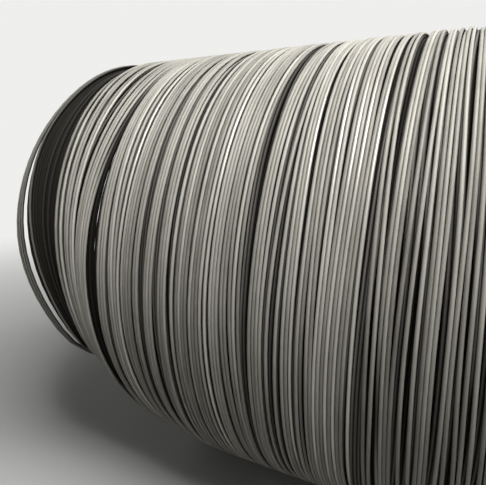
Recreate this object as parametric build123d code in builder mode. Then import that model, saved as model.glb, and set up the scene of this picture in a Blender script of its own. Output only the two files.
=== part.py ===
import os
from math import asin, atan, cos, degrees, hypot, radians, sin, sqrt, tan

from build123d import *

# Coil of cold heading wire, one length of stock wound into a thick ring.
# It lies on the floor with its winding axis along X. -Y is the side that faces
# the viewer, +Z is up, and the slack turns hang off the -X end.

# Driving dimensions, in millimetres and degrees.
wire_diameter = 7.0
coil_diameter = 1190.0
wall_thickness = 120.0
coil_length = 1346.0
# How far a turn stands out of the hollow between it and the next one.
turn_height = 2.4
# Turns lie in bunches that touch. Between two bunches a deeper turn shows.
turns_per_bunch = (
    5, 6, 3, 5, 6, 4, 7, 5, 6, 8, 4, 6, 5, 7,
    3, 6, 5, 4, 7, 6, 5, 6, 4, 5, 7, 4, 6, 5,
)
gap_width = 10.0
gap_depth = 6.0
# At the -X end the inner turns stop short of the outer ones, so the end is
# dished: a flat rim of a few turns, then a cone that runs in to the bore.
rim_turns = 3
dish_depth = 190.0
# The -X end has slumped: its upper side leans out and its lower side is set
# back by this much. The side that leans out furthest is counted in degrees from
# the viewer's side up towards the top.
end_setback = 252.0
slack_direction = 70.0
# The slack turns lie against that end, low down, and lean out from it: how far
# the last one does, and the share of that lean that each of them has.
slack_lean = 20.0
lean_shares = (0.24, 0.64, 1.0)
slack_gap = 0.1
# The coil's own weight presses a flat on it where it lies on the floor.
floor_flat = 140.0

wire_radius = wire_diameter / 2
coil_radius = coil_diameter / 2
bore_radius = coil_radius - wall_thickness
hollow_radius = coil_radius - turn_height
flat_depth = coil_radius - sqrt(coil_radius**2 - (floor_flat / 2) ** 2)
axis_height = coil_radius - flat_depth
half_length = coil_length / 2
end_hollow = half_length - turn_height
gap_count = len(turns_per_bunch) - 1
turn_pitch = (2 * end_hollow - gap_count * gap_width) / sum(turns_per_bunch)
turns_in_wall = round((hollow_radius - bore_radius) / wire_diameter)
wall_pitch = (hollow_radius - bore_radius) / turns_in_wall
dish_height = (turns_in_wall - rim_turns) * wall_pitch
dish_slope = hypot(dish_depth, dish_height)
dish_turns = round(dish_slope / wire_diameter)

# The end's plane, and the tilt of each slack turn.
end_tilt = atan(end_setback / coil_diameter)
out_y = -cos(radians(slack_direction))
out_z = sin(radians(slack_direction))
slack_radius = coil_radius - wire_radius
slack_tilts = []
for share in lean_shares:
    slack_tilts.append(end_tilt + asin(share * slack_lean / (2 * slack_radius)))

# Where the first slack turn rests on the end's plane, counted from the coil's
# -X end and from its axis, and the step from one slack turn to the next.
rest_height = slack_radius * cos(slack_tilts[0])
rest_x = tan(end_tilt) * (coil_radius + rest_height) - (wire_radius + slack_gap) / cos(end_tilt)
step_x = -(wire_diameter + slack_gap) * cos(end_tilt)
step_height = -(wire_diameter + slack_gap) * sin(end_tilt)

# The slack turns reach past the -X end, so the coil stands off centre by half
# of that reach and the whole part is centred on its origin.
last = len(lean_shares) - 1
last_reach = 2 * slack_radius * sin(slack_tilts[last]) + wire_radius
slack_reach = last_reach - rest_x - last * step_x
axis_shift = slack_reach / 2


def at_x(local_x):
    """X of a place on the coil, counted from the middle of the coil's length."""
    return local_x + axis_shift


# The coil: one turned ring with a plain bore. Its outline is drawn in the XZ
# plane above the axis, and then the ring is set down on its flat.
with BuildPart() as wire_coil:
    with BuildSketch(Plane.XZ) as section:
        with BuildLine():
            place = (at_x(-end_hollow + dish_depth), bore_radius)
            start = place
            # Turns up the dish at the -X end, from the bore outwards.
            for step in range(dish_turns):
                rim = (
                    place[0] - dish_depth / dish_turns,
                    place[1] + dish_height / dish_turns,
                )
                crown = (
                    (place[0] + rim[0]) / 2 - turn_height * dish_height / dish_slope,
                    (place[1] + rim[1]) / 2 - turn_height * dish_depth / dish_slope,
                )
                ThreePointArc(place, crown, rim)
                place = rim
            # Turns across the rim of that end.
            for step in range(rim_turns):
                rim = (place[0], place[1] + wall_pitch)
                crown = (place[0] - turn_height, place[1] + wall_pitch / 2)
                ThreePointArc(place, crown, rim)
                place = rim
            # Turns along the outside, bunch by bunch, each drawn as a plain low
            # ridge: round ones would only add thousands of facets.
            for bunch, turns in enumerate(turns_per_bunch):
                for step in range(turns):
                    rim = (place[0] + turn_pitch, place[1])
                    crown = (place[0] + turn_pitch / 2, place[1] + turn_height)
                    Line(place, crown)
                    Line(crown, rim)
                    place = rim
                if bunch < gap_count:
                    floor_left = (place[0], place[1] - gap_depth)
                    floor_right = (place[0] + gap_width, floor_left[1])
                    rim = (floor_right[0], place[1])
                    Line(place, floor_left)
                    Line(floor_left, floor_right)
                    Line(floor_right, rim)
                    place = rim
            # Turns across the +X end, back in to the bore.
            for step in range(turns_in_wall):
                rim = (place[0], place[1] - wall_pitch)
                crown = (place[0] + turn_height, place[1] - wall_pitch / 2)
                ThreePointArc(place, crown, rim)
                place = rim
            Line(place, start)
        make_face()
    revolve(axis=Axis.X)
    # The slumped end: everything beyond its plane is taken off.
    end_plane = Plane(
        origin=(at_x(-half_length), coil_radius * out_y, coil_radius * out_z),
        z_dir=(cos(end_tilt), sin(end_tilt) * out_y, sin(end_tilt) * out_z),
    )
    split(bisect_by=end_plane, keep=Keep.TOP)
    # The flat that the coil lies on.
    flat_plane = Plane(origin=(0, 0, -axis_height), z_dir=(0, 0, 1))
    split(bisect_by=flat_plane, keep=Keep.TOP)
wire_coil.part = Pos(0, 0, axis_height) * wire_coil.part

# The slack turns: each is a ring of the same wire that touches its neighbour
# opposite the side that leans out, and leans away from it everywhere else.
with BuildPart() as slack_turns:
    for number, tilt in enumerate(slack_tilts):
        touch_x = at_x(-half_length + rest_x + number * step_x)
        height = rest_height + number * step_height
        shift = slack_radius * cos(tilt) - height
        ring_plane = Plane(
            origin=(
                touch_x - slack_radius * sin(tilt),
                shift * out_y,
                axis_height + shift * out_z,
            ),
            z_dir=(cos(tilt), sin(tilt) * out_y, sin(tilt) * out_z),
        )
        with Locations(ring_plane):
            Torus(slack_radius, wire_radius)

wire_coil.part.label = "wire_coil"
slack_turns.part.label = "slack_turns"

os.makedirs("parts", exist_ok=True)
export_step(wire_coil.part, "parts/wire_coil.step")
export_step(slack_turns.part, "parts/slack_turns.step")

box = wire_coil.part.bounding_box()
print("coil", box.min, box.max, "pitch", round(turn_pitch, 3), round(wall_pitch, 3))
print("slumped end tilts", round(degrees(end_tilt), 1), "degrees, axis at", round(axis_height, 3))
print("centre of the solid", wire_coil.part.center(CenterOf.MASS))
box = slack_turns.part.bounding_box()
print("slack turns", box.min, box.max)
print("volumes, litres", wire_coil.part.volume / 1e6, slack_turns.part.volume / 1e6)
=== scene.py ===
# %% [markdown]
# # A coil of cold heading wire
# The part is one length of drawn steel wire, wound into a thick ring that lies on its side. The CAD
# model keeps the ring's sizes and its bore. This script winds the separate turns that you would see
# on the real coil, gives them their dull drawing coat, and lights them softly from above.

from math import cos, pi, radians, sin

import bpy
import numpy as np
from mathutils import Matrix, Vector


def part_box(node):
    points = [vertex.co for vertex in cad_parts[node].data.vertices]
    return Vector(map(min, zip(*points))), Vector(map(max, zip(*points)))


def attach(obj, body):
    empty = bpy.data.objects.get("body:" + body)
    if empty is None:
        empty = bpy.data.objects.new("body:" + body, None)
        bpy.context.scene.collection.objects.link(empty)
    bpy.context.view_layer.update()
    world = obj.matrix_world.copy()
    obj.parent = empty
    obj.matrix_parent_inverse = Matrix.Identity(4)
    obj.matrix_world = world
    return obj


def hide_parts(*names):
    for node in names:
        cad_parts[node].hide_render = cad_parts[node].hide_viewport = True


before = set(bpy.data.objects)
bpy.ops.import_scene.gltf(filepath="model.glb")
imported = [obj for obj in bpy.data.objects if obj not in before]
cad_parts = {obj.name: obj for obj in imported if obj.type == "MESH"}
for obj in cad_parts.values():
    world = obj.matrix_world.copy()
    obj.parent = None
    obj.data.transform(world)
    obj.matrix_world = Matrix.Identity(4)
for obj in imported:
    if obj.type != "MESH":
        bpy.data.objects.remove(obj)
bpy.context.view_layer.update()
coil_low, coil_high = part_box("wire_coil")
coil_radius = (coil_high[1] - coil_low[1]) / 2
axis_height = coil_high[2] - coil_radius
print("coil", round(coil_high[0] - coil_low[0], 3), "m long,", round(2 * coil_radius, 3), "m across")
print("its axis is", round(axis_height, 4), "m up")

# %% [markdown]
# ## Where the camera stands
# Wires that run round a coil are circles, and the way circles bend in a picture gives away the place
# of the camera. In the photograph it stands a little above the coil's middle, close enough to fill
# the frame, and looks down the coil towards its slack end. Places along the coil are counted in coil
# radii from the point of the axis that is nearest to the camera, and grow away from the slack end.

# %% Camera
tidy_end_place = 0.6908
camera_back = 2.0945 * coil_radius
camera_rise = 0.5448 * coil_radius
look = Vector((-0.4412, 0.8719, -0.2123))
focal_pixels = 429.5
frame_pixels = 486
sensor_width = 36.0
foot_x = coil_high[0] - tidy_end_place * coil_radius

camera_data = bpy.data.cameras.new("camera")
camera = bpy.data.objects.new("camera", camera_data)
bpy.context.collection.objects.link(camera)
camera.location = (foot_x, -camera_back, axis_height + camera_rise)
camera.rotation_mode = "QUATERNION"
camera.rotation_quaternion = look.to_track_quat("-Z", "Y")
camera_data.sensor_width = sensor_width
camera_data.lens = sensor_width * focal_pixels / frame_pixels
bpy.context.scene.camera = camera
print("camera at", [round(c, 3) for c in camera.location])

# %% [markdown]
# ## Turns as rows of numbers
# Every turn is a ring round the coil's axis, so it can be kept as two rows of numbers: how far along
# the axis it lies, and how far from the axis, at each step round the ring. Angle 0 faces the viewer
# and 90 degrees is the top. With plain arrays, hundreds of turns are bent and stacked in moments,
# and only at the end are they made into tubes.

# %% Angles round the coil
wire = 0.007
steps = 96
angle = np.arange(steps) * 2 * pi / steps
elevation = (np.degrees(angle) + 180) % 360 - 180
counted_elevation = 14.6
counted_step = int(round(counted_elevation / 360 * steps))


def place(along):
    """X of a place counted in coil radii."""
    return foot_x + along * coil_radius


def ease(value, start, end):
    """0 before start, 1 past end, smooth between."""
    share = np.clip((value - start) / (end - start), 0, 1)
    return share * share * (3 - 2 * share)


def widen(rows, reach=2):
    """The largest value within reach steps round the ring, then the mean of those."""
    shifts = range(-reach, reach + 1)
    high = np.max([np.roll(rows, n, axis=-1) for n in shifts], axis=0)
    return np.mean([np.roll(high, n, axis=-1) for n in shifts], axis=0)


def soften(rows, reach=2):
    """The mean of the values within reach steps round the ring."""
    return np.mean([np.roll(rows, n, axis=-1) for n in range(-reach, reach + 1)], axis=0)


print("a step is", round(2 * pi * coil_radius / steps * 1000, 1), "mm of wire")

# %% [markdown]
# ## Bunches
# A wire is laid on a coil in bunches of turns that touch, with narrow gaps between them where the
# layer below shows. The list has the bunches of the top layer where the photograph shows them: the
# place of the first turn and the number of turns, counted at the height of the picture's middle. The
# rest of the coil is laid by chance with the same habits.

# %% Bunches in view
seen_bunches = (
    (-1.434, 1), (-1.406, 1), (-1.380, 1), (-1.356, 2), (-1.325, 2), (-1.290, 6),
    (-1.168, 1), (-1.152, 2), (-1.117, 2), (-1.088, 1), (-1.067, 1), (-1.047, 3),
    (-1.008, 1), (-0.987, 2), (-0.933, 2), (-0.907, 1), (-0.872, 3), (-0.818, 1),
    (-0.797, 4), (-0.742, 3), (-0.704, 1), (-0.686, 1), (-0.669, 3), (-0.630, 2),
    (-0.604, 1), (-0.588, 1), (-0.573, 1), (-0.526, 3), (-0.488, 1), (-0.464, 1),
    (-0.436, 1), (-0.416, 3), (-0.371, 2), (-0.346, 1), (-0.334, 1), (-0.316, 2),
    (-0.291, 5), (-0.238, 1), (-0.222, 1), (-0.188, 1), (-0.169, 1), (-0.152, 2),
    (-0.133, 1), (-0.113, 1), (-0.090, 1), (-0.067, 1), (-0.048, 2), (-0.024, 1),
    (0.004, 1), (0.018, 1), (0.031, 1), (0.050, 1),
)
pitch = 1.01 * wire


def seen_turns():
    """Axial places of the listed turns, and the bunch that each belongs to."""
    places = []
    bunches = []
    for bunch, (along, turns) in enumerate(seen_bunches):
        for turn in range(turns):
            places.append(place(along) + turn * pitch)
            bunches.append(bunch)
    return places, bunches


print(len(seen_bunches), "bunches in view,", sum(turns for along, turns in seen_bunches), "turns")

# %% Bunches laid by chance
def chance_turns(chance, start, end, most, gaps):
    """Bunches of 1 to most turns from start to end, with gaps of that range, in wires."""
    places = []
    bunches = []
    x = start
    bunch = 0
    while x < end:
        for turn in range(int(chance.integers(1, most + 1))):
            if x < end:
                places.append(x)
                bunches.append(bunch)
            x += pitch
        x += wire * chance.uniform(*gaps)
        bunch += 1
    return places, bunches


print("turns of a bunch lie", round(pitch * 1000, 2), "mm apart")

# %% [markdown]
# ## Wander
# No turn runs dead straight round the coil. The turns of one bunch wander together, because each one
# leans on the last, and neighbouring bunches share most of it, so the gaps between them are long
# wedges that open here and close there. Waves of one to four to the round, in chance strengths, give
# that. Turns of one layer can't pass through each other, so wherever two would, they are set side
# by side and the gaps of that layer take up the difference.

# %% Wander
waves = (1, 2, 3, 4)
kept_strength = 0.75
new_strength = 0.66
new_phase = 0.5
own_wander = 0.1
own_wave = 3
touching = 0.98 * wire


def wandered(chance, places, bunches, size):
    """Rows of axial places, as listed at the counted height and astray elsewhere."""
    places = np.array(places)
    bunches = np.array(bunches)
    stray = np.zeros((bunches[-1] + 1, steps))
    for wave in waves:
        phase = chance.uniform(0, 2 * pi)
        strength = chance.normal()
        for bunch in range(len(stray)):
            strength = kept_strength * strength + new_strength * chance.normal()
            phase += new_phase * chance.normal()
            stray[bunch] += strength * np.cos(wave * angle + phase) / wave
    own = own_wander * chance.normal(size=(len(places), 1)) * np.cos(own_wave * angle)
    stray = stray[bunches] + own
    stray -= stray[:, counted_step : counted_step + 1]
    return side_by_side(places[:, None] + size * wire * stray)


def side_by_side(rows):
    """The same rows with no two nearer than a wire, and the same length over all."""
    steps_between = np.diff(rows, axis=0)
    spare = soften(np.maximum(steps_between - touching, 0))
    wanted = steps_between.sum(axis=0) - touching * len(steps_between)
    spare = spare * wanted / spare.sum(axis=0)
    along = np.cumsum(touching + spare, axis=0)
    return rows[0] + np.concatenate([np.zeros((1, steps)), along])


print("waves to the round:", waves, "and touching turns", round(touching * 1000, 2), "mm apart")

# %% [markdown]
# ## Stacking
# A new turn drops towards the axis until it rests on the turns already laid: in the hollow between
# two of them, or on top of one that it crosses. At each angle that height is a little circle
# geometry. Stiff wire can't follow every dip, so the heights are then widened and smoothed.

# %% Stacking turns
resting = 0.97 * wire


def stack(rows, laid, ground):
    """Radius of each turn in rows, resting on the laid ones, which they then join."""
    radii = []
    for row in rows:
        height = np.full(steps, ground)
        if laid:
            laid_x = np.array([turn[0] for turn in laid])
            laid_r = np.array([turn[1] for turn in laid])
            apart = np.abs(laid_x - row)
            rest = laid_r + np.sqrt(np.maximum(wire**2 - apart**2, 0))
            height = np.maximum(height, np.where(apart < resting, rest, 0).max(axis=0))
        height = widen(height)
        laid.append((row, height))
        radii.append(height)
    return np.array(radii)


print("a turn rests on those nearer than", round(resting * 1000, 2), "mm")

# %% [markdown]
# ## The slack end
# Towards the end that the camera looks at, the coil has gone slack. Its turns hang from the top, so
# their lowest part is off the floor. On the viewer's side their upper part leans out and their lower
# part tucks in behind its neighbours, which leaves a few turns standing off the end as loose loops.
# The whole end is first wound straight and then slumped: a table says how far each place along the
# coil moves at each height, in coil radii, and everything between is read off it in proportion.

# %% Lean
heights = (-180, -90, -55, -35, -24, -15, -4, 5, 14.6, 35, 50, 70, 90, 180)
lean_table = (
    (-1.640, (0.28, 0.44, 0.475, 0.45, 0.37, 0.22, 0.11, 0.03, 0, -0.01, 0.01, 0.0, -0.01, 0.28)),
    (-1.560, (0.22, 0.37, 0.395, 0.37, 0.32, 0.23, 0.12, 0.06, 0, -0.065, -0.048, -0.06, -0.07, 0.22)),
    (-1.434, (0.14, 0.26, 0.27, 0.24, 0.19, 0.133, 0.07, 0.03, 0, -0.04, -0.06, -0.12, -0.13, 0.14)),
    (-1.330, (0.06, 0.14, 0.165, 0.13, 0.10, 0.07, 0.04, 0.02, 0, -0.01, -0.02, -0.04, -0.05, 0.06)),
    (-1.250, (0, 0.06, 0.08, 0.045, 0.025, 0.01, 0, 0, 0, 0.025, 0.042, 0.035, 0.03, 0)),
    (-1.160, (0, 0, 0, 0, -0.01, -0.02, -0.01, 0, 0, 0, 0, 0, 0, 0)),
    (-1.050, (0, 0, 0, 0, 0, 0, 0, 0, 0, 0, 0, 0, 0, 0)),
)
lean_x = np.array([place(row[0]) for row in lean_table])
lean_by_step = coil_radius * np.array([np.interp(elevation, heights, row[1]) for row in lean_table])
lean_by_step = soften(soften(lean_by_step))


def lean(rows):
    """How far each point of the rows moves along the axis."""
    moved = np.empty_like(rows)
    for step in range(rows.shape[1]):
        moved[:, step] = np.interp(rows[:, step], lean_x, lean_by_step[:, step])
    return moved


print("lean reaches", round(1000 * float(np.abs(lean_by_step).max())), "mm")

# %% Slump
edge_place = -1.235
hang_share = 0.025
hang_from = place(-0.80)
hang_full = place(-1.15)
tuck_share = 0.5
tuck_from = 12
tuck_full = 38
tuck_fade = 60


def slump(rows, radii):
    """Rows and radii of the slack coil from those of the straight one."""
    leaned = rows + lean(rows)
    edge = np.full((1, steps), place(edge_place))
    edge_leaned = edge + lean(edge)
    before = np.maximum(edge - rows, 0)
    after = np.maximum(edge_leaned - leaned, 0)
    tuck = tuck_share * np.sqrt(np.maximum(before**2 - after**2, 0))
    tuck = tuck * ease(-elevation, tuck_from, tuck_full) * ease(180 + elevation, 0, tuck_fade)
    hung = hang_share * ease(-leaned, -hang_from, -hang_full) * (1 - np.sin(angle))
    sunk = radii * (1 - hung) - tuck
    floor_limit = (axis_height - wire / 2) / np.maximum(-np.sin(angle), 0.01)
    return leaned, np.minimum(sunk, floor_limit)


print("lowest turn of the slack end hangs", round(2 * hang_share * coil_radius * 1000), "mm up")

# %% [markdown]
# ## Sums of nodes
# A finish is a tree of nodes, and much of it is plain arithmetic. One small class wraps a socket, so
# that sums can be written as sums, and another holds the tree, with one method that adds any node:
# its type, its settings, and then the values or links of its sockets.

# %% Values and finishes
class Value:
    """A socket that can be added, subtracted and multiplied as a number."""

    def __init__(self, finish, socket):
        self.finish = finish
        self.socket = socket

    def math(self, operation, first, second):
        inputs = {0: first, 1: second}
        return self.finish.node("ShaderNodeMath", {"operation": operation}, inputs)

    def __add__(self, other):
        return self.math("ADD", self, other)

    def __radd__(self, other):
        return self.math("ADD", other, self)

    def __sub__(self, other):
        return self.math("SUBTRACT", self, other)

    def __rsub__(self, other):
        return self.math("SUBTRACT", other, self)

    def __mul__(self, other):
        return self.math("MULTIPLY", self, other)

    def __rmul__(self, other):
        return self.math("MULTIPLY", other, self)


class Finish:
    """The node tree of a material or of the world."""

    def __init__(self, owner):
        owner.use_nodes = True
        self.tree = owner.node_tree
        self.tree.nodes.clear()

    def node(self, kind, settings=None, inputs=None, output=0):
        """Any node, and the value that leaves it by the named output."""
        made = self.tree.nodes.new(kind)
        for setting, value in (settings or {}).items():
            if setting == "stops":
                for element, (position, colour) in zip(made.color_ramp.elements, value):
                    element.position = position
                    element.color = colour
            else:
                setattr(made, setting, value)
        for name, value in (inputs or {}).items():
            if isinstance(value, Value):
                self.tree.links.new(value.socket, made.inputs[name])
            else:
                made.inputs[name].default_value = value
        return Value(self, made.outputs[output]) if made.outputs else None


print("a finish adds its nodes by", Finish.node.__name__)

# %% [markdown]
# ## The coat on the wire
# Cold heading wire is drawn through a coat of soap and phosphate, which leaves it a dull grey with a
# little of the metal's sheen. It could be one colour, but then the bunches would melt into one
# another. On the real coil no two turns are quite the same grey, and the coat is cloudy along each
# turn. The hollows and the depth of the coil get painted shade, a near-black mixed into the colour.
# So three numbers make the finish: a mark that each turn carries, a slow noise along it, and how
# deep a point lies below the outside of the coil, which sets its painted shade.

# %% Coated wire
turn_shift = 40.0
patch_scale = 6.0
grain_scale = 420.0
# Painted shade: between the first two depths, in wires, the coat's colour is mixed towards the
# near-black at the end of this list.
painted_shade_from = 0.12
painted_shade_full = 1.15
coat_stops = ((0.27, (0.25, 0.239, 0.208, 1)), (0.78, (0.66, 0.64, 0.575, 1)))
painted_shade_colour = (0.014, 0.013, 0.010, 1)


def coated_wire():
    """The coat: cloudy at the outside of the coil, darkened by painted shade in the depth."""
    finish = Finish(bpy.data.materials.new("coated_wire"))
    mark = finish.node("ShaderNodeAttribute", {"attribute_name": "turn_mark"}, {}, "Fac")
    deep = finish.node("ShaderNodeAttribute", {"attribute_name": "painted_shade_depth"}, {}, "Fac")
    where = finish.node("ShaderNodeTexCoord", {}, {}, "Object")
    shift = finish.node("ShaderNodeCombineXYZ", {}, {"X": mark * turn_shift})
    spread = finish.node("ShaderNodeVectorMath", {"operation": "ADD"}, {0: where, 1: shift})
    cloudy = {"Vector": spread, "Scale": patch_scale, "Detail": 3.0, "Roughness": 0.6}
    patches = finish.node("ShaderNodeTexNoise", {}, cloudy)
    fine = {"Vector": spread, "Scale": grain_scale, "Detail": 2.0, "Roughness": 0.6}
    grain = finish.node("ShaderNodeTexNoise", {}, fine)
    tone = 0.5 * patches + 0.35 * mark + 0.15 * grain
    coat_colour = finish.node("ShaderNodeValToRGB", {"stops": coat_stops}, {"Fac": tone}, "Color")
    # Painted shade: the deeper a point, the nearer its colour comes to near-black, and the duller it
    # turns.
    painted_shade = finish.node(
        "ShaderNodeMapRange",
        {"interpolation_type": "SMOOTHSTEP"},
        {"Value": deep, "From Min": painted_shade_from, "From Max": painted_shade_full},
    )
    rubbed = finish.node(
        "ShaderNodeMapRange",
        {"interpolation_type": "SMOOTHSTEP"},
        {"Value": mark, "From Min": 0.86, "From Max": 0.93},
    )
    mixed = {"Factor": painted_shade, 6: coat_colour, 7: painted_shade_colour}
    colour = finish.node("ShaderNodeMix", {"data_type": "RGBA"}, mixed, 2)
    grainy = {"Strength": 0.15, "Distance": 0.0003, "Height": grain}
    bump = finish.node("ShaderNodeBump", {}, grainy, "Normal")
    shader = finish.node(
        "ShaderNodeBsdfPrincipled",
        {},
        {
            "Base Color": colour,
            "Metallic": (1.0 - painted_shade) * (0.05 + 0.3 * rubbed),
            "Specular IOR Level": 0.15,
            "Roughness": 0.36 + 0.2 * tone + 0.25 * painted_shade - 0.14 * rubbed,
            "Normal": bump,
        },
        "BSDF",
    )
    finish.node("ShaderNodeOutputMaterial", {}, {"Surface": shader})
    return finish


print("coated wire:", len(coated_wire().tree.nodes), "nodes")

# %% [markdown]
# ## From rows to tubes
# A wire could be a curve with a bevel, but hundreds of them convert slowly, so the tubes are built
# straight from the rows. A tube needs a round section at every step, square to the wire. The wire's
# own direction comes from its two neighbours, and the direction away from the axis gives the section
# a steady way up. Each turn keeps a mark of its own, and every point keeps how many wires deep it
# lies, counted from the outside of the coil, which sets how much painted shade it gets.

# %% Sections along a turn
top_radius = coil_radius - wire / 2


def tube_corners(rows, radii, turn_angle, around):
    """Points of the tubes: turn, step round the coil, side of the tube."""
    sine = np.sin(turn_angle)
    cosine = np.cos(turn_angle)
    ring = np.stack([rows, -radii * cosine, axis_height + radii * sine], axis=-1)
    along = np.roll(ring, -1, axis=1) - np.roll(ring, 1, axis=1)
    along /= np.linalg.norm(along, axis=2, keepdims=True)
    outward = np.stack([0 * turn_angle, -cosine, sine], axis=-1)
    across = np.cross(along, outward)
    across /= np.linalg.norm(across, axis=2, keepdims=True)
    upright = np.cross(across, along)
    rise = wire / 2 * np.cos(around)[:, None] * upright[:, :, None]
    spread = wire / 2 * np.sin(around)[:, None] * across[:, :, None]
    return ring[:, :, None] + rise + spread


def tube_faces(turns, count, sides):
    """Corner numbers of the faces between neighbouring sections."""
    turn, step, side = np.meshgrid(
        np.arange(turns), np.arange(count), np.arange(sides), indexing="ij"
    )
    here = (turn * count + step) * sides
    there = (turn * count + (step + 1) % count) * sides
    next_side = (side + 1) % sides
    faces = [here + side, there + side, there + next_side, here + next_side]
    return np.stack(faces, axis=-1).reshape(-1, 4)


print("outermost turn at", round(top_radius, 4), "m from the axis")

# %% Pieces of wire
def wire_piece(name, corners, faces, deep, marks, replaced):
    """An object with the wire's finish, which rides on the coil and stands for a CAD node."""
    mesh = bpy.data.meshes.new(name)
    mesh.from_pydata(corners, [], faces)
    for attribute, numbers in (("painted_shade_depth", deep), ("turn_mark", marks)):
        layer = mesh.attributes.new(attribute, "FLOAT", "POINT")
        layer.data.foreach_set("value", numbers.astype(np.float32))
    mesh.materials.append(bpy.data.materials["coated_wire"])
    piece = bpy.data.objects.new(name, mesh)
    bpy.context.collection.objects.link(piece)
    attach(piece, "root")
    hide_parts(replaced)
    print(name, 2 * len(faces), "triangles")
    return piece


def tube_piece(name, rows, radii, sides, replaced, stride=1, depth=None, inward=1.0):
    """Closed round tubes, one for each row. Depth is in wires, and inward is what a wire's inner side
    adds to it; together they set the painted shade.
    """
    # Painted shade: by default a turn darkens with how far it lies below the outermost one.
    if depth is None:
        depth = (top_radius - radii) / wire
    depth = np.broadcast_to(depth, radii.shape)[:, ::stride]
    bent_rows, bent_radii = slump(rows, radii)
    around = np.arange(sides) * 2 * pi / sides
    corners = tube_corners(
        bent_rows[:, ::stride], bent_radii[:, ::stride], angle[::stride], around
    )
    turns, count = depth.shape
    chance = np.random.default_rng(len(name) + turns)
    marks = np.repeat(chance.uniform(0, 1, turns), count * sides)
    # Painted shade in the hollows between turns: the crown adds nothing on the tube's outer side, half
    # of inward at its flanks, and all of inward on its inner side.
    crown = 0.5 - 0.5 * np.cos(around)
    deep = (depth[:, :, None] + inward * crown).reshape(-1)
    faces = tube_faces(turns, count, sides)
    piece = wire_piece(name, corners.reshape(-1, 3), faces, deep, marks, replaced)
    piece.data.shade_smooth()
    return piece


print("a turn is", round(2 * pi * top_radius, 2), "m of wire")

# %% [markdown]
# ## Winding the coil
# The layers are laid from the inside out, each by the same habits: chance places, wander, stack. Only
# the outer four are wound, because the gaps of the top one show no more than that. The lower ones
# need fewer sides, for the same reason. Near the slack end the photograph looks right through a long
# slit between two bunches, so the lower layers leave that place free.

# %% Lower layers
last_turn = coil_high[0] - wire / 2
laid = []
ground = top_radius - 3 * 0.9 * wire
# Name, seed, start, most turns to a bunch, gaps, wander, stride, and the slit that stays free.
layer_plan = (
    ("shell_turns", 31, -1.405, 9, (0.0, 0.35), 0.6, 2, (-1.252, -1.222)),
    ("lower_turns", 32, -1.410, 7, (0.1, 0.7), 0.8, 1, (-1.243, -1.208)),
    ("second_turns", 33, -1.415, 5, (0.3, 1.2), 0.9, 1, (-1.232, -1.188)),
)
for name, seed, start, most, gaps, size, stride, slit in layer_plan:
    chance = np.random.default_rng(seed)
    places, bunches = chance_turns(chance, place(start), last_turn, most, gaps)
    kept = [n for n, x in enumerate(places) if not place(slit[0]) < x < place(slit[1])]
    places = [places[n] for n in kept]
    bunches = [bunches[n] for n in kept]
    rows = wandered(chance, places, bunches, size)
    radii = stack(rows, laid, ground)
    tube_piece(name, rows, radii, 6, "wire_coil", stride)

# %% Top layer
chance = np.random.default_rng(34)
places, bunches = seen_turns()
more_places, more_bunches = chance_turns(chance, places[-1] + 1.6 * wire, last_turn, 4, (0.2, 1.3))
places += more_places
bunches += [bunch + bunches[-1] + 1 for bunch in more_bunches]
rows = wandered(chance, places, bunches, 0.9)
radii = stack(rows, laid, ground)
half = len(places) // 2
tube_piece("top_turns_slack_half", rows[:half], radii[:half], 8, "wire_coil")
tube_piece("top_turns_tidy_half", rows[half:], radii[half:], 8, "wire_coil")
print("top layer:", len(places), "turns, thickest at", round(float(radii.max()), 4), "m")

# %% [markdown]
# ## Loose loops
# The last turns off the coil have sprung open: three of them lie together and stand well off the end,
# and a fourth stands between them and the body. They meet it again low down, where they tuck in
# behind the edge. The CAD model has three plain rings for them, and these loops replace those.

# %% Loose loops
loop_places = (-1.640, -1.628, -1.615, -1.560)
loop_rows = np.array([np.full(steps, place(along)) for along in loop_places])
loop_radii = np.full(loop_rows.shape, top_radius)
# Painted shade: a depth of 0.6 wires makes the loops darker than the tops of the coil.
tube_piece("loose_loops", loop_rows, loop_radii, 8, "slack_turns", 1, 0.6)

# %% [markdown]
# ## Inner turns
# Behind the loose loops the photograph shows a dark crescent, with a few faint wires in it: the inner
# turns, which reach out further than the outer ones. Two layers of them close the view into the
# coil. The crescent's dark is painted shade: their outer sides are painted near-black, and the sides
# that face into the bore keep nearly the coat's own colour.

# %% Inner turns
# Painted shade: at this depth the inner turns are near-black.
inner_depth = 2.2
first_depths = np.array([1.0, 1.2, 1.6, 2.0])
nested = 0.87
inner_places = np.arange(-1.590, -1.415, 0.0119)
inner_rows = np.array([np.full(steps, place(along)) for along in inner_places])
inner_radii = np.full(inner_rows.shape, top_radius - inner_depth * wire)
inner_radii[: len(first_depths)] = top_radius - first_depths[:, None] * wire
inner_rows = np.concatenate([inner_rows, inner_rows + wire / 2])
inner_radii = np.concatenate([inner_radii, inner_radii - nested * wire])
tube_piece("inner_turns", inner_rows, inner_radii, 6, "slack_turns", 1, inner_depth, -1.9)

# %% Stray turns
stray_plan = ((-1.512, 1.5, 0.012), (-1.478, 1.3, 0.010))
tilted = np.cos(angle - radians(60))
stray_rows = []
stray_radii = []
for along, deep, sway in stray_plan:
    stray_rows.append(place(along) + sway * coil_radius * tilted)
    stray_radii.append(np.full(steps, top_radius - deep * wire))
stray_rows = np.array(stray_rows)
stray_radii = np.array(stray_radii)
# Painted shade: at a depth of 0.95 wires the stray turns show as faint dark lines.
tube_piece("stray_turns", stray_rows, stray_radii, 6, "slack_turns", 1, 0.95)

# %% [markdown]
# ## The ends and the bore
# No photograph of this coil shows them. Such coils have a dished slack end, where the inner turns
# stop short of the outer ones, a flatter tidy end, and turns all along the bore. One ring after
# another is enough for each, at the places where the CAD model's own surfaces are.

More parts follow.
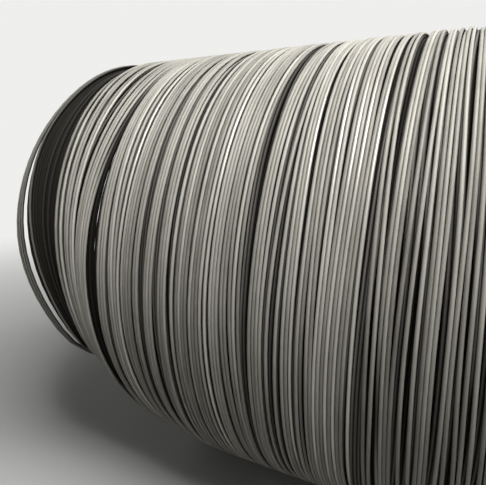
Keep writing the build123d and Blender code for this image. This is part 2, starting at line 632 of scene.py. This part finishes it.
# %% Dished end
rim_radius = ground - 0.6 * wire
wall_thickness = 0.12
bore_radius = coil_radius - wall_thickness + wire / 2
dish_from = -1.405
dish_to = -1.22
dish_share = np.concatenate([np.linspace(0, 0.42, 13), np.linspace(0.54, 1, 14)])[:, None]
dish_rows = place(dish_from + dish_share * (dish_to - dish_from)) + np.zeros(steps)
dish_radii = rim_radius + dish_share * (bore_radius - rim_radius) + np.zeros(steps)
# A light painted shade: 0.25 wires deep, a little more on the tubes' inner sides.
tube_piece("dish_turns", dish_rows, dish_radii, 6, "wire_coil", 1, 0.25, 0.1)

# %% Tidy end
end_turns = 15
end_radii = np.linspace(bore_radius, rim_radius, end_turns)[:, None] + np.zeros(steps)
end_rows = np.full(end_radii.shape, last_turn)
# A light painted shade: 0.2 wires deep, a little more on the tubes' inner sides.
tube_piece("end_turns", end_rows, end_radii, 6, "wire_coil", 1, 0.2, 0.1)

# %% Bore
bore_places = np.arange(place(dish_to) + wire, last_turn, 1.12 * wire)
bore_rows = bore_places[:, None] + np.zeros(steps)
bore_radii = np.full(bore_rows.shape, bore_radius)
# Painted shade: the bore's turns are 1.2 wires deep, nearly clean on the side facing into the bore and
# darker at their flanks, which draws dark lines between them.
tube_piece("bore_turns", bore_rows, bore_radii, 6, "wire_coil", 2, 1.2, -1.1)

# %% [markdown]
# ## The core
# Between the bore's turns and the lowest wound layer lie some fifteen layers that nobody can see. One
# plain ring fills their place, near-black with painted shade like the depths of the coil, so that no
# light leaks through.

# %% Core
core_from = place(-1.0)
core_to = last_turn - wire / 2
core_inner = bore_radius + wire / 2
core_outer = ground - wire / 2
core_outline = (
    (core_from, core_inner),
    (core_from, core_outer),
    (core_to, core_outer),
    (core_to, core_inner),
)
core_corners = [
    (x, -radius * cos(turn), axis_height + radius * sin(turn))
    for x, radius in core_outline
    for turn in angle
]
core_faces = tube_faces(1, 4, steps)
# Painted shade: three wires deep, the core is near-black.
core_deep = np.full(len(core_corners), 3.0)
wire_piece("core", core_corners, core_faces, core_deep, 0 * core_deep, "wire_coil")
print("core from", round(core_from, 3), "to", round(core_to, 3))

# %% [markdown]
# ## The floor
# The floor is plain and pale. Near the coil it is an ordinary painted floor that takes the coil's
# shadow. Further off it changes to the backdrop's own white, so that no horizon cuts the picture. The
# coil is photographed over a dark floor, so the light that this one throws back up is held down: only
# the camera and mirror-like reflections see its pale colour.

# %% Floor
backdrop_white = (0.86, 0.86, 0.85, 1)
half_floor = 12.0


def seen_directly(finish):
    """1 for what the camera sees, straight, in a reflection or through glass, and 0 for other light."""
    seen = 0.0
    for ray in ("Is Camera Ray", "Is Glossy Ray", "Is Transmission Ray"):
        seen = seen + finish.node("ShaderNodeLightPath", {}, {}, ray)
    return finish.node("ShaderNodeClamp", {}, {"Value": seen}, "Result")


def floor_paint():
    """Pale paint with shadows near the coil, and the backdrop's white further off."""
    material = bpy.data.materials.new("floor_paint")
    finish = Finish(material)
    where = finish.node("ShaderNodeTexCoord", {}, {}, "Object")
    away = finish.node("ShaderNodeVectorMath", {"operation": "LENGTH"}, {0: where}, "Value")
    far = finish.node(
        "ShaderNodeMapRange",
        {"interpolation_type": "SMOOTHSTEP"},
        {"Value": away, "From Min": 1.2, "From Max": 4.5},
    )
    seen = seen_directly(finish)
    paints = {"Factor": seen, 6: (0.10, 0.10, 0.10, 1), 7: (0.74, 0.74, 0.73, 1)}
    colour = finish.node("ShaderNodeMix", {"data_type": "RGBA"}, paints, 2)
    matte = {"Base Color": colour, "Roughness": 0.85}
    paint = finish.node("ShaderNodeBsdfPrincipled", {}, matte, "BSDF")
    white = finish.node("ShaderNodeEmission", {}, {"Color": backdrop_white}, "Emission")
    mixed = finish.node("ShaderNodeMixShader", {}, {0: far * seen, 1: paint, 2: white}, "Shader")
    finish.node("ShaderNodeOutputMaterial", {}, {"Surface": mixed})
    return material


floor_mesh = bpy.data.meshes.new("floor")
floor_signs = ((-1, -1), (1, -1), (1, 1), (-1, 1))
floor_corners = [(half_floor * x, half_floor * y, 0) for x, y in floor_signs]
floor_mesh.from_pydata(floor_corners, [], [(0, 1, 2, 3)])
floor_mesh.materials.append(floor_paint())
floor = bpy.data.objects.new("floor", floor_mesh)
bpy.context.collection.objects.link(floor)
print("floor:", 2 * half_floor, "m square")

# %% [markdown]
# ## Light
# A wide lamp overhead does most of the work: it leaves the top of each turn bright and the belly of
# the coil dark, as in the photograph. A small one draws the short glints on the turns that have been
# rubbed bright. The world adds an even fill, so that no side goes black.

# %% Lamps
def lamp(name, location, aim, size, power):
    """A rectangular lamp that points at aim."""
    data = bpy.data.lights.new(name, "AREA")
    data.shape = "RECTANGLE"
    data.size, data.size_y = size
    data.energy = power
    made = bpy.data.objects.new(name, data)
    bpy.context.collection.objects.link(made)
    made.location = location
    made.rotation_mode = "QUATERNION"
    made.rotation_quaternion = (Vector(aim) - Vector(location)).to_track_quat("-Z", "Y")
    print(name, "at", location, power, "W")
    return made


coil_middle = (0.3, 0.0, 0.6)
slack_shoulder = (-0.58, -0.5, 0.9)
lamp("overhead", (1.35, -0.8, 3.4), coil_middle, (2.6, 1.4), 132.0)
lamp("glint", (0.61, -1.68, 2.9), slack_shoulder, (0.25, 0.25), 6.0)

# %% World
fill_strength = 0.08
world = bpy.data.worlds.new("studio")
bpy.context.scene.world = world
studio = Finish(world)
fill = {"Color": (1, 1, 1, 1), "Strength": fill_strength}
lit = studio.node("ShaderNodeBackground", {}, fill, "Background")
shown = studio.node("ShaderNodeBackground", {}, {"Color": backdrop_white}, "Background")
seen = seen_directly(studio)
both = studio.node("ShaderNodeMixShader", {}, {0: seen, 1: lit, 2: shown}, "Shader")
studio.node("ShaderNodeOutputWorld", {}, {"Surface": both})
bpy.context.scene.view_settings.view_transform = "Standard"
print("world fill", fill_strength)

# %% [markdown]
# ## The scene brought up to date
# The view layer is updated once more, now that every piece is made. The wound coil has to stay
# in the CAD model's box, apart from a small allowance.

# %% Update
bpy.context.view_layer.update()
